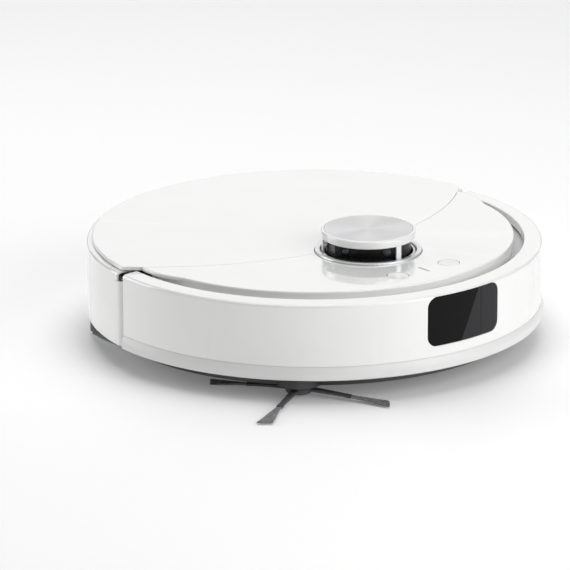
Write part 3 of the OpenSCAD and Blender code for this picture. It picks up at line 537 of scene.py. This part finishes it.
NOSE_R = 7 * MM
NOSE_Y = 21.5 * MM
SHELL_Y = 22.5 * MM
SHELL_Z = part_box("rear_shell")[0].z
NOSE_TOP = RIM_DROP - 1.4 * MM
NOTCH_X, NOTCH_Y, NOTCH_Z = 40 * MM, 156.8 * MM, 71.5 * MM
EXHAUST_ANGLE = 40
EXHAUST_HALF = 0.024
CONTACT_X = 38 * MM


def nose(side):
    """Upright wall end that curves in behind the bumper's end."""
    x = math.sqrt(BODY_R ** 2 - NOSE_Y ** 2) - NOSE_R
    outer = arc(x, NOSE_Y, NOSE_R, 12, -90, 14)
    inner = arc(x, NOSE_Y, NOSE_R - WALL, -90, 12, 14)
    back = [(x - 1.6 * MM, NOSE_Y - NOSE_R), (x - 1.6 * MM, NOSE_Y - NOSE_R + WALL)]
    outline = [(side * px, py) for px, py in outer + back + inner]
    return prism("nose", outline, SHELL_Z, NOSE_TOP)


rear = revolve("rear_wall", wall_outline(SHELL_Z))
cut(rear, block("trim", (-FAR, -FAR, -FAR), (FAR, SHELL_Y, FAR)))
cut(rear, block("trim", (-NOTCH_X, NOTCH_Y, NOTCH_Z), (NOTCH_X, FAR, FAR)))
exhaust_turn = Matrix.Rotation(math.radians(EXHAUST_ANGLE), 4, "Z")
cut(rear, prism("trim", [(0.165, -EXHAUST_HALF), (0.18, -EXHAUST_HALF), (0.18, EXHAUST_HALF),
                         (0.165, EXHAUST_HALF)], 0.035, 0.057, exhaust_turn))
cut(rear, facing_pad("trim", 51 * MM, 29.5 * MM, 50.5 * MM, 5 * MM, 0.16, 0.2))
for x in (-CONTACT_X, CONTACT_X):
    cut(rear, block("trim", (x - 5.2 * MM, 0.165, 24.8 * MM), (x + 5.2 * MM, 0.1724, 42.2 * MM)))
for side in (-1, 1):
    combine(rear, nose(side), "UNION")
soften(rear, 0.4 * MM, 3)
place(rear, "chassis", "shell_white", "rear_shell")

# ---------- Lid and front panel ----------

UNDER_Z = DECK_Z - DECK_T
HINGE_Y = 166 * MM
HINGE_Z = 74.4 * MM
GAP = 0.5 * MM
DECK_EDGE = 1.2 * MM
KNUCKLE_R = 2.4 * MM
KNUCKLE_HALF = 5 * MM
PIN_HOLE_R = 1.3 * MM
RIB_R = (0.150, 0.152)
EAR_R, EAR_X, EAR_Y = 60 * MM, 97.5 * MM, 2 * MM


def plate_outline(r, z0, z1, edge):
    """Section of a flat disc with a rounded upper edge."""
    return [(0, z0), (r, z0)] + arc(r - edge, z1 - edge, edge, 0, 90, 8) + [(0, z1)]


def turret_hole():
    return plug(COLLAR_R + GAP, 192, TURRET)


def seam_plug(gap):
    """Everything behind the curved seam, less or more a gap."""
    return plug(SEAM_R + gap, 480, (0, SEAM_Y))


lid = revolve("lid_plate", plate_outline(LID_R, UNDER_Z, DECK_Z, DECK_EDGE), 360)
keep(lid, seam_plug(-SEAM_GAP))
cut(lid, turret_hole())
soften(lid, 0.45 * MM, 3)


def knuckle(x):
    """Hinge arm under the lid with its pin hole."""
    plan = ([(HINGE_Y + KNUCKLE_R, UNDER_Z), (HINGE_Y - 12 * MM, UNDER_Z),
             (HINGE_Y - 12 * MM, HINGE_Z + 0.6 * MM), (HINGE_Y - 3 * MM, HINGE_Z)]
            + arc(HINGE_Y, HINGE_Z, KNUCKLE_R, 180, 360, 16))
    turn = Matrix.Rotation(math.radians(90), 4, "Z") @ Matrix.Rotation(math.radians(90), 4, "X")
    piece = prism("knuckle", plan, x - KNUCKLE_HALF, x + KNUCKLE_HALF, turn)
    hole = arc(HINGE_Y, HINGE_Z, PIN_HOLE_R, 0, 348, 29)
    reach = KNUCKLE_HALF + 1 * MM
    return cut(piece, prism("trim", hole, x - reach, x + reach, turn))


def lid_rib_ring():
    """Ring rib under the lid, open at the front seam and at the hinge."""
    low, high = UNDER_Z - 3 * MM, UNDER_Z + 0.2 * MM
    ring = revolve("rib", [(RIB_R[0], low), (RIB_R[1], low), (RIB_R[1], high), (RIB_R[0], high)])
    cut(ring, block("trim", (-FAR, -FAR, 0), (FAR, 0.036, 0.2)))
    return cut(ring, block("trim", (-0.045, 0.14, 0), (0.045, 0.2, 0.2)))


RIB_X = 48 * MM
HINGE_X = 20 * MM
lid_parts = [lid, soften(lid_rib_ring(), 0.3 * MM, 2)]
for x in (-RIB_X, RIB_X):
    rib = block("rib", (x - 1 * MM, 0.012, UNDER_Z - 2.5 * MM),
                (x + 1 * MM, 0.14, UNDER_Z + 0.2 * MM))
    lid_parts.append(soften(rib, 0.3 * MM, 2))
for x in (-HINGE_X, HINGE_X):
    lid_parts.append(soften(knuckle(x), 0.2 * MM, 2))
lid = join("lid_shell", lid_parts)
place(lid, "lid", "shell_white", "lid")

BUTTONS = {name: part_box(name) for name in ("power_button", "dock_button")}
light_low, light_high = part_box("status_light")


def button_centre(name):
    low, high = BUTTONS[name]
    return ((low.x + high.x) / 2, (low.y + high.y) / 2)


KEY_R = 8 * MM
KEY_GAP = 0.35 * MM
FLANGE_R = KEY_R + 1.4 * MM
STEM_R = 2 * MM
panel = revolve("deck_panel", plate_outline(PANEL_R, UNDER_Z, DECK_Z, DECK_EDGE), 360)
for side in (-1, 1):
    ear = revolve("ear", plate_outline(EAR_R, UNDER_Z, DECK_Z, DECK_EDGE), 360,
                  (side * EAR_X, EAR_Y))
    keep(ear, block("trim", (side * 0.155 - 0.02, -0.06, 0), (side * 0.155 + 0.02, 0.02, 0.2)))
    combine(panel, ear, "UNION")
cut(panel, seam_plug(SEAM_GAP))
cut(panel, turret_hole())
for name in BUTTONS:
    cut(panel, plug(KEY_R + KEY_GAP, 96, button_centre(name)))
cut(panel, block("trim", (light_low.x - 0.1 * MM, light_low.y - 0.1 * MM, CUT_LOW),
                 (light_high.x + 0.1 * MM, light_high.y + 0.1 * MM, CUT_HIGH)))
soften(panel, 0.3 * MM, 3)
skirt_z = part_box("front_panel")[0].z
skirt_in, skirt_out = PANEL_R - 2.4 * MM, PANEL_R - 0.4 * MM
skirt = revolve("skirt", [(skirt_in, skirt_z), (skirt_out, skirt_z), (skirt_out, UNDER_Z),
                          (skirt_in, UNDER_Z)], 360)
cut(skirt, seam_plug(SEAM_GAP))
soften(skirt, 0)
panel = join("front_deck", [panel, skirt])
place(panel, "chassis", "shell_white", "front_panel")

for name in BUTTONS:
    low, high = BUTTONS[name]
    top = high.z
    key = revolve(name.replace("button", "key"),
                  [(0, low.z), (STEM_R, low.z), (STEM_R, UNDER_Z - 1.2 * MM),
                   (FLANGE_R, UNDER_Z - 1.2 * MM), (FLANGE_R, UNDER_Z - 0.4 * MM),
                   (KEY_R, UNDER_Z - 0.4 * MM)]
                  + arc(KEY_R - 0.45 * MM, top - 0.45 * MM, 0.45 * MM, 0, 90, 5)
                  + [(KEY_R - 1.5 * MM, top - 0.05 * MM), (KEY_R - 4 * MM, top - 0.22 * MM),
                     (0, top - 0.35 * MM)],
                  96, button_centre(name))
    soften(key, 0)
    place(key, name, "button_white", name)

# ---------- Turret ----------

POST_Z = 90.6 * MM
FOOT_Z = cover_low.z
POST_IN = CAP_R - 2.1 * MM
POST_HALF = 2.4 * MM
FOOT_TOP = 79.8 * MM
CAP_FLOOR = CAP_Z - 0.8 * MM
CAP_INSIDE = POST_Z + 2.4 * MM
IN_R = CAP_R + 0.7 * MM
collar = revolve("turret_ring", [(IN_R, collar_low.z), (COLLAR_R, collar_low.z)]
                 + arc(COLLAR_R - 0.9 * MM, COLLAR_Z - 0.9 * MM, 0.9 * MM, 0, 90, 7)
                 + [(IN_R + 0.6 * MM, COLLAR_Z), (IN_R, COLLAR_Z - 0.5 * MM)], 240, TURRET)
BELT_TURN = Matrix.Translation((*TURRET, 0)) @ Matrix.Rotation(math.radians(-30), 4, "Z")
BELT_HALF = 0.018


def belt_way():
    """Gap in the turret's foot that the drive belt runs through."""
    plan = [(0.02, -BELT_HALF), (0.06, -BELT_HALF), (0.06, BELT_HALF), (0.02, BELT_HALF)]
    return prism("trim", plan, CUT_LOW, 0.077, BELT_TURN)


cut(collar, belt_way())
soften(collar, 0)
place(collar, "chassis", "collar_metal", "lidar_collar")

cap = revolve("cap", [(POST_IN, POST_Z), (CAP_R - 0.8 * MM, POST_Z), (CAP_R, POST_Z + 0.8 * MM)]
              + arc(CAP_R - 1.7 * MM, CAP_Z - 1.7 * MM, 1.7 * MM, 0, 90, 9)
              + [(DISC_R + 0.35 * MM, CAP_Z), (DISC_R + 0.1 * MM, CAP_Z - 0.25 * MM),
                 (DISC_R + 0.1 * MM, CAP_FLOOR), (0, CAP_FLOOR), (0, CAP_INSIDE),
                 (POST_IN, CAP_INSIDE)], 240, TURRET)
soften(cap, 0)
foot = revolve("foot", [(POST_IN, FOOT_Z), (CAP_R, FOOT_Z), (CAP_R, FOOT_TOP - 0.5 * MM),
                        (CAP_R - 0.5 * MM, FOOT_TOP), (POST_IN + 0.3 * MM, FOOT_TOP),
                        (POST_IN, FOOT_TOP - 0.3 * MM)], 240, TURRET)
cut(foot, belt_way())
soften(foot, 0)
turret_parts = [cap, foot]
for a in (-90, 30, 150):
    half = math.degrees(POST_HALF / CAP_R)
    plan = (arc(0, 0, CAP_R - 0.4 * MM, a - half, a + half, 6)
            + arc(0, 0, POST_IN + 0.2 * MM, a + half, a - half, 6))
    plan = [(x + TURRET[0], y + TURRET[1]) for x, y in plan]
    post = prism("post", plan, FOOT_TOP - 0.3 * MM, POST_Z + 0.6 * MM)
    turret_parts.append(soften(post, 0.35 * MM, 3))
place(join("turret_cap", turret_parts), "chassis", "shell_white", "lidar_cover")

disc = revolve("turret_disc", [(0, disc_low.z), (DISC_R, disc_low.z), (DISC_R, CAP_Z - 0.15 * MM),
                               (DISC_R - 0.25 * MM, CAP_Z), (0, CAP_Z)], 240, TURRET)
soften(disc, 0)
place(disc, "chassis", "disc_metal", "lidar_disc")

rotor_low, rotor_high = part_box("lidar_rotor")
ROTOR_TOP = rotor_high.z
ROTOR_R = 32 * MM
FLAT = 22 * MM          # from the axis to the flat face behind the lenses
BORE = 6.1 * MM
DRUM_Z = 79.2 * MM
HUB_Z = 76.4 * MM
SHOULDER_R = 26 * MM
PULLEY_R = 22 * MM
FLANGE_TOP = rotor_low.z + 1 * MM
rotor = revolve("scan_rotor", [(BORE, rotor_low.z), (PULLEY_R + 1.6 * MM, rotor_low.z),
                               (PULLEY_R + 1.6 * MM, FLANGE_TOP), (PULLEY_R, FLANGE_TOP),
                               (PULLEY_R, HUB_Z), (SHOULDER_R, HUB_Z), (SHOULDER_R, DRUM_Z),
                               (ROTOR_R - 0.6 * MM, DRUM_Z), (ROTOR_R, DRUM_Z + 0.6 * MM),
                               (ROTOR_R, ROTOR_TOP - 0.8 * MM), (ROTOR_R - 0.8 * MM, ROTOR_TOP),
                               (0, ROTOR_TOP), (0, ROTOR_TOP - 5.4 * MM),
                               (BORE, ROTOR_TOP - 5.4 * MM)], 192, TURRET)
FACE_TURN = Matrix.Translation((*TURRET, 0)) @ Matrix.Rotation(math.radians(-135), 4, "Z")
cut(rotor, prism("trim", [(FLAT, -0.04), (0.05, -0.04), (0.05, 0.04), (FLAT, 0.04)],
                 DRUM_Z + 1.2 * MM, ROTOR_TOP - 1 * MM, FACE_TURN))
LENS_Z = (DRUM_Z + ROTOR_TOP) / 2


def lens_turn(depth, lateral):
    """Takes an upright lens to the flat face of the rotor."""
    upright = Matrix.Rotation(math.radians(90), 4, "Y")
    return FACE_TURN @ Matrix.Translation((depth, lateral, LENS_Z)) @ upright


lenses = []
for lateral, r in ((-15.5 * MM, 3.3 * MM), (15.5 * MM, 3.9 * MM)):
    cut(rotor, prism("trim", arc(0, 0, r, 0, 352.5, 47), -3 * MM, 4 * MM, lens_turn(FLAT, lateral)))
    edge = r - 0.35 * MM
    bulge = [(edge * math.cos(math.radians(a)), -0.4 * MM + 0.9 * MM * math.sin(math.radians(a)))
             for a in range(12, 90, 13)]
    dome = revolve("lens", [(0, -2 * MM), (edge, -2 * MM), (edge, -0.4 * MM)] + bulge
                   + [(0, 0.5 * MM)], 64)
    dome.data.transform(lens_turn(FLAT - 0.6 * MM, lateral))
    lenses.append(soften(dome, 0))
soften(rotor, 0.3 * MM, 2)
place(rotor, "lidar_rotor", "rotor_black", "lidar_rotor")
place(join("scan_lenses", lenses), "lidar_rotor", "lens_glass", "lidar_lenses")

# ---------- Side brush ----------

brush_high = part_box("side_brush_arms")[1]
HUB = (-105 * MM, -108.5 * MM)
HUB_R = 10 * MM
ARMS = 4
ARM_START = -150.4
ARM_END = 41 * MM
TUFT_END = 72.8 * MM
ARM_TOP = 7.2 * MM
ARM_ROWS = 24
HAIRS = 170             # on each arm
HAIR_JOINTS = 6
HAIR_R, HAIR_TIP_R = 0.16 * MM, 0.07 * MM

# Section of an arm, as shares of its half width and half thickness
ARM_SECTION = ((-1, -0.7), (-0.85, -1), (0.85, -1), (1, -0.7), (1, 0.5), (0.6, 1), (-0.6, 1),
               (-1, 0.5))


def arm_point(a, along, across):
    """Plan point on an arm at angle a from the hub's centre."""
    c, s = math.cos(a), math.sin(a)
    return (HUB[0] + along * c - across * s, HUB[1] + along * s + across * c)


def droop(t):
    """Height of an arm's middle from the hub (0) to its end (1)."""
    return ARM_TOP - 1.5 * MM - 1.9 * MM * t ** 1.5


def flexible_arm(a):
    """Flat rubber arm that thins and droops, with a clamped end for the bristles."""
    bm = bmesh.new()
    rows = []
    start = HUB_R - 3 * MM
    for i in range(ARM_ROWS + 1):
        t = i / ARM_ROWS
        along = start + (ARM_END - start) * t
        half = (2.9 - 1.1 * t) * MM
        if t > 0.86:
            half += 0.55 * MM
        thick = (1.35 - 0.25 * t) * MM
        mid = droop(t)
        ring = []
        for u, w in ARM_SECTION:
            x, y = arm_point(a, along, u * half)
            ring.append(bm.verts.new((x, y, mid + w * thick)))
        rows.append(ring)
    for one, two in zip(rows, rows[1:]):
        n = len(one)
        for k in range(n):
            m = (k + 1) % n
            bm.faces.new((one[k], one[m], two[m], two[k]))
    bm.faces.new(rows[0])
    bm.faces.new(list(reversed(rows[-1])))
    return soften(new_piece("arm", bm), 0.12 * MM, 2)


arm_pieces = []
tufts = bmesh.new()
rand = random.Random(3)
for k in range(ARMS):
    a = math.radians(ARM_START + 360 / ARMS * k)
    arm_pieces.append(flexible_arm(a))
    for _ in range(HAIRS):
        u = rand.uniform(-1, 1)
        layer = rand.uniform(-1, 1)
        start = ARM_END - 3 * MM
        end = TUFT_END - (u + 1) * 2.2 * MM - rand.uniform(0, 1.4) * MM
        bend = rand.gauss(0, 0.35) * MM
        points = []
        for i in range(HAIR_JOINTS + 1):
            t = i / HAIR_JOINTS
            across = u * (1.5 * MM + 4.1 * MM * t ** 1.25) + bend * t * t
            x, y = arm_point(a, start + (end - start) * t, across)
            z = 3.75 * MM - 1.95 * MM * min(1, t * 1.15) ** 1.2 + layer * (0.65 - 0.25 * t) * MM
            points.append(Vector((x, y, z)))
        tube_along(tufts, points, [HAIR_R] * HAIR_JOINTS + [HAIR_TIP_R], 5)

hub = revolve("hub", [(2.4 * MM, 2.6 * MM), (HUB_R - 1.2 * MM, 2.6 * MM), (HUB_R, 3.8 * MM),
                      (HUB_R, 6.6 * MM), (HUB_R - 1.4 * MM, 8 * MM), (2.4 * MM, 8 * MM)], 96, HUB)
arm_pieces.append(soften(hub, 0.3 * MM, 2))
post = revolve("post", [(0, 2.9 * MM), (2.3 * MM, 2.9 * MM), (2.3 * MM, brush_high.z),
                        (0, brush_high.z)], 48, HUB)
arm_pieces.append(soften(post, 0.2 * MM, 2))
place(join("brush_arms", arm_pieces), "side_brush", "brush_rubber", "side_brush_arms")
place(soften(new_piece("brush_tufts", tufts), 0), "side_brush", "bristle", "side_brush_bristles")

# ---------- Mop cloth ----------

pad_low, pad_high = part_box("mop_pad")
PAD_EDGE = pad_high.y
PAD_CORNER = 6 * MM
LOOP_SIZE = 3.2 * MM


def pad_outline(inset, n=44):
    """D-shaped plan: straight front edge, sides, then the robot's own curve at the back."""
    x = pad_high.x - inset
    r = PAD_EDGE - inset
    front = pad_low.y + inset
    start = math.degrees(math.acos(x / r))
    bend = front + PAD_CORNER
    left = [(-x, bend)] + arc(-x + PAD_CORNER, bend, PAD_CORNER, 195, 270, 6)
    right = arc(x - PAD_CORNER, bend, PAD_CORNER, 270, 345, 6) + [(x, bend)]
    return left + right + arc(0, 0, r, start, 180 - start, n)


def cloth_pad():
    """Thick cloth with a soft rolled edge, before its loops are raised."""
    bm = bmesh.new()
    top = pad_high.z
    low = pad_low.z
    thick = top - low
    rows = [(1.6 * MM, top), (0.25 * MM, top - 0.3 * MM), (0.0, low + thick * 0.55),
            (0.5 * MM, low + thick * 0.2), (1.7 * MM, low + 0.12 * MM), (3.4 * MM, low)]
    rings = [[bm.verts.new((x, y, z)) for x, y in pad_outline(inset)] for inset, z in rows]
    for one, two in zip(rings, rings[1:]):
        n = len(one)
        for i in range(n):
            k = (i + 1) % n
            bm.faces.new((one[i], one[k], two[k], two[i]))
    bm.faces.new(rings[0])
    bm.faces.new(list(reversed(rings[-1])))
    return new_piece("mop_cloth", bm)


pad = cloth_pad()
remesh = pad.modifiers.new("loops", "REMESH")
remesh.mode = "VOXEL"
remesh.voxel_size = 1.1 * MM
apply_modifiers(pad)
rand_pad = random.Random(11)
pad_mesh = pad.data
for v in pad_mesh.vertices:
    u, w = v.co.x / LOOP_SIZE, v.co.y / LOOP_SIZE
    weave = 0.5 + 0.5 * math.sin(u * math.pi) * math.sin(w * math.pi)
    if v.co.z < pad_low.z + 0.6 * MM:
        v.co.z += (0.55 * weave + rand_pad.uniform(0, 0.15)) * MM
pad_mesh.polygons.foreach_set("use_smooth", [True] * len(pad_mesh.polygons))
place(pad, "mop_module", "mop_cloth", "mop_pad")

# ---------- Tyres ----------

LUGS = 30
LUG_HALF = 1.5 * MM

for side in ("left", "right"):
    low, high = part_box("tyre_" + side)
    cy, cz = (low.y + high.y) / 2, (low.z + high.z) / 2
    r = (high.z - low.z) / 2
    half = (high.x - low.x) / 2
    section = ([(r - 5.2 * MM, -half + 0.6 * MM), (r - 4.6 * MM, -half), (r - 3.4 * MM, -half)]
               + [(r - 2.2 * MM, -half + 1.6 * MM), (r - 2.2 * MM, half - 1.6 * MM)]
               + [(r - 3.4 * MM, half), (r - 4.6 * MM, half), (r - 5.2 * MM, half - 0.6 * MM)])
    tyre = revolve("tyre", section, 240)
    lugs = []
    for k in range(LUGS):
        lug = block("lug", (r - 3.0 * MM, -LUG_HALF, -half + 1.0 * MM),
                    (r - 0.15 * MM, LUG_HALF, half - 1.0 * MM))
        for v in lug.data.vertices:
            v.co.y += abs(v.co.z) * 0.30 - 1.2 * MM
            if v.co.x > r - 1 * MM:
                v.co.z *= 0.93
                v.co.y = v.co.y * 0.86
        lug.data.transform(Matrix.Rotation(2 * math.pi * k / LUGS, 4, "Z"))
        lugs.append(lug)
    lug_ring = join("lugs", lugs)
    soften(lug_ring, 0.25 * MM, 2)
    soften(tyre, 0.2 * MM, 2)
    tyre = join("tyre_tread_" + side, [tyre, lug_ring])
    on_axle = Matrix.Translation(((low.x + high.x) / 2, cy, cz))
    tyre.data.transform(on_axle @ Matrix.Rotation(math.radians(90), 4, "Y"))
    place(tyre, side + "_wheel", "tread", "tyre_" + side)

# ---------- Room, light and camera ----------

floor_mesh = bpy.data.meshes.new("floor")
span = 6.0
corners = [(-span, -span, 0), (span, -span, 0), (span, span, 0), (-span, span, 0)]
floor_mesh.from_pydata(corners, [], [(0, 1, 2, 3)])
floor = bpy.data.objects.new("floor", floor_mesh)
bpy.context.scene.collection.objects.link(floor)
floor_look = material("floor", (0.93, 0.93, 0.93), rough=(0.55, 0.62), tone=0.006, tone_scale=2,
                      grain=0.02)
floor_shader = floor_look.node_tree.nodes["Principled BSDF"]
floor_shader.inputs["Emission Color"].default_value = (1, 1, 1, 1)
floor_shader.inputs["Emission Strength"].default_value = 0.13
dress(floor, floor_look)

scene = bpy.context.scene
scene.view_settings.view_transform = "Standard"
world = bpy.data.worlds.new("room")
scene.world = world
world.use_nodes = True
background = world.node_tree.nodes["Background"]
background.inputs["Color"].default_value = (1, 1, 1, 1)
background.inputs["Strength"].default_value = 0.05

AIM = Vector((0, 0, 42.6 * MM))
CAM_AZ = math.radians(-39.83)
CAM_EL = math.radians(17.62)
CAM_DISTANCE = 3.0623
AIM_LEFT = math.radians(0.418)
AIM_DOWN = math.radians(0.1116)


def direction(azimuth, elevation):
    """Unit vector from the object towards something seen at these angles."""
    flat = math.cos(elevation)
    return Vector((math.sin(azimuth) * flat, -math.cos(azimuth) * flat, math.sin(elevation)))


def soft_light(name, azimuth, elevation, distance, size, power):
    """Area light that faces the object; its azimuth is counted from the camera's."""
    light = bpy.data.lights.new(name, "AREA")
    light.shape = "RECTANGLE"
    light.size, light.size_y = size
    light.energy = power
    obj = bpy.data.objects.new(name, light)
    bpy.context.scene.collection.objects.link(obj)
    way = direction(CAM_AZ + math.radians(azimuth), math.radians(elevation))
    obj.location = AIM + way * distance
    obj.rotation_euler = way.to_track_quat("Z", "Y").to_euler()


soft_light("top_box", 0, 85, 1.8, (1.6, 1.4), 13)
soft_light("key_box", 40, 30, 1.7, (1.1, 1.2), 9.4)
soft_light("right_box", 65, 20, 1.7, (1.0, 1.0), 7.6)
soft_light("left_box", -100, 18, 1.7, (1.0, 1.0), 10)
soft_light("back_box", 180, 55, 1.8, (1.8, 1.2), 9)
soft_light("back_card", 180, 20, 2.6, (3.4, 1.3), 14)

camera_data = bpy.data.cameras.new("camera")
camera_data.sensor_width = 36
camera_data.lens = 252.9
camera_data.clip_end = 50
camera = bpy.data.objects.new("camera", camera_data)
scene.collection.objects.link(camera)
back = direction(CAM_AZ, CAM_EL)
right = Vector((math.cos(CAM_AZ), math.sin(CAM_AZ), 0))
up = back.cross(right)
camera.location = AIM + back * CAM_DISTANCE
toward = -back - right * math.tan(AIM_LEFT) - up * math.tan(AIM_DOWN)
view_back = -toward.normalized()
view_right = up.cross(view_back).normalized()
view_up = view_back.cross(view_right)
camera.matrix_world = Matrix.Translation(camera.location) @ Matrix(
    (view_right, view_up, view_back)).transposed().to_4x4()
scene.camera = camera
